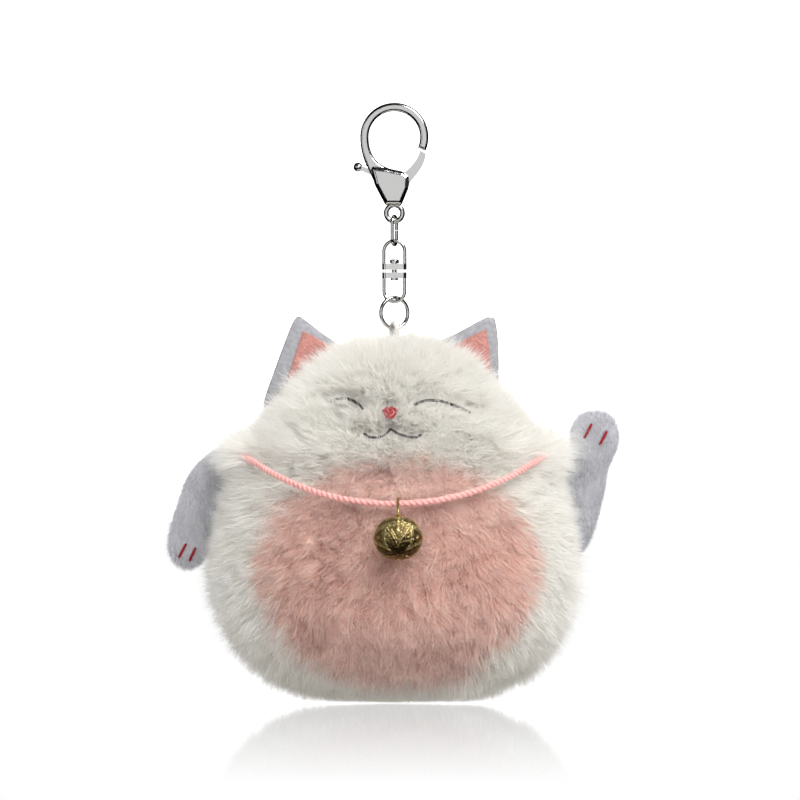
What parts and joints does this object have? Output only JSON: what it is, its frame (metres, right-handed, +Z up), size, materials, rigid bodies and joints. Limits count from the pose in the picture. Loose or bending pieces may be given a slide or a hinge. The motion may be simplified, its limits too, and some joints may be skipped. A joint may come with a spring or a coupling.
{
  "type": "plush keychain",
  "caption": "Stuffed egg-shaped plush cat with flexing ears and arms, a corded bell and a swivel chain under a lobster clasp.",
  "frame": {"origin": "centre of the clasp hook's round inner opening", "axes": "+Z up, from the cat to the clasp; -Y is the cat's front; +X is to the right seen from the front"},
  "size_m": [0.1427, 0.1356, 0.1909],
  "materials": {
    "nickel_plate": null,
    "spring_steel": null,
    "white_cord": null,
    "ivory_fur": null,
    "pink_fur": null,
    "polyester_fill": null,
    "grey_felt": null,
    "pink_lining": null,
    "grey_plush": null,
    "red_thread": null,
    "dark_thread": null,
    "pink_yarn": null,
    "antique_brass": null,
    "bell_steel": null
  },
  "bodies": {
    "clasp": {"clasp_body": "nickel_plate", "clasp_pivot_pin": "nickel_plate", "clasp_spring": "spring_steel"},
    "gate": {"clasp_gate": "nickel_plate"},
    "link": {"connector_link": "nickel_plate"},
    "swivel_upper": {"swivel_upper_loop": "nickel_plate"},
    "swivel_lower": {"swivel_lower_loop": "nickel_plate", "swivel_rivet": "nickel_plate"},
    "ring": {"jump_ring": "nickel_plate"},
    "plush": {"hanging_loop": "white_cord", "face_panel": "ivory_fur", "head_back_panel": "ivory_fur", "body_left_panel": "ivory_fur", "body_right_panel": "ivory_fur", "belly_panel": "pink_fur", "base_panel": "ivory_fur", "body_stuffing": "polyester_fill", "nose_stitching": "red_thread", "eye_left_stitching": "dark_thread", "eye_right_stitching": "dark_thread", "mouth_stitching": "dark_thread", "neck_cord": "pink_yarn", "cord_knot": "pink_yarn", "cord_ends": "pink_yarn", "tail": "grey_plush"},
    "arm_left": {"arm_left_skin": "grey_plush", "arm_left_stuffing": "polyester_fill", "arm_left_claw_stitches": "red_thread"},
    "arm_right": {"arm_right_skin": "grey_plush", "arm_right_stuffing": "polyester_fill", "arm_right_claw_stitches": "red_thread"},
    "ear_left": {"ear_left_felt": "grey_felt", "ear_left_lining": "pink_lining"},
    "ear_right": {"ear_right_felt": "grey_felt", "ear_right_lining": "pink_lining"},
    "bell_ring": {"bell_ring": "antique_brass"},
    "bell": {"bell_upper_half": "antique_brass", "bell_lower_half": "antique_brass", "bell_eyelet": "antique_brass"},
    "pellet": {"bell_pellet": "bell_steel"}
  },
  "joints": [
    {"name": "gate_pivot", "type": "hinge", "parent": "clasp", "child": "gate", "pos_m": [0.001, 0, -0.0145], "axis": [0, -1, 0], "range_deg": [0, 30], "stiffness_Nm_per_rad": 0.01, "springref_deg": -28.65, "deforming": ["clasp_spring"]},
    {"name": "link_swing", "type": "hinge", "parent": "clasp", "child": "link", "pos_m": [0, 0, -0.0269], "axis": [1, 0, 0], "range_deg": [-50, 50]},
    {"name": "swivel_swing", "type": "hinge", "parent": "link", "child": "swivel_upper", "pos_m": [0, 0, -0.0344], "axis": [0, 1, 0], "range_deg": [-50, 50]},
    {"name": "swivel_spin", "type": "hinge", "parent": "swivel_upper", "child": "swivel_lower", "pos_m": [0, 0, -0.0427], "axis": [0, 0, 1], "continuous": true},
    {"name": "ring_swing", "type": "hinge", "parent": "swivel_lower", "child": "ring", "pos_m": [0, 0, -0.05255], "axis": [0.9848, -0.1736, 0], "range_deg": [-20, 20]},
    {"name": "plush_swing", "type": "hinge", "parent": "ring", "child": "plush", "pos_m": [0, 0, -0.06105], "axis": [0.8746, 0.4848, 0], "range_deg": [-35, 35]},
    {"name": "bell_ring_swing", "type": "hinge", "parent": "plush", "child": "bell_ring", "pos_m": [0.0012, -0.0595, -0.1165], "axis": [-1, 0, 0], "range_deg": [0, 60]},
    {"name": "bell_sway", "type": "hinge", "parent": "bell_ring", "child": "bell", "pos_m": [0.0012, -0.06257, -0.12024], "axis": [0, -0.766, 0.6428], "range_deg": [-20, 20]},
    {"name": "pellet_roll", "type": "hinge", "parent": "bell", "child": "pellet", "pos_m": [0.0012, -0.0685, -0.1273], "axis": [1, 0, 0], "range_deg": [-40, 40]},
    {"name": "arm_left_flex", "type": "hinge", "parent": "plush", "child": "arm_left", "pos_m": [-0.0538, 0.0055, -0.103], "axis": [0, 1, 0], "range_deg": [0, 40], "stiffness_Nm_per_rad": 0.003},
    {"name": "arm_right_flex", "type": "hinge", "parent": "plush", "child": "arm_right", "pos_m": [0.0548, 0.0055, -0.105], "axis": [0.2463, 0, -0.9692], "range_deg": [-25, 15], "stiffness_Nm_per_rad": 0.003},
    {"name": "ear_left_flex", "type": "hinge", "parent": "plush", "child": "ear_left", "pos_m": [-0.029, 0, -0.0765], "axis": [0.839, 0, 0.5441], "range_deg": [-15, 15], "stiffness_Nm_per_rad": 0.002},
    {"name": "ear_right_flex", "type": "hinge", "parent": "plush", "child": "ear_right", "pos_m": [0.025, 0, -0.0725], "axis": [0.8639, 0, -0.5036], "range_deg": [-15, 15], "stiffness_Nm_per_rad": 0.002}
  ]
}
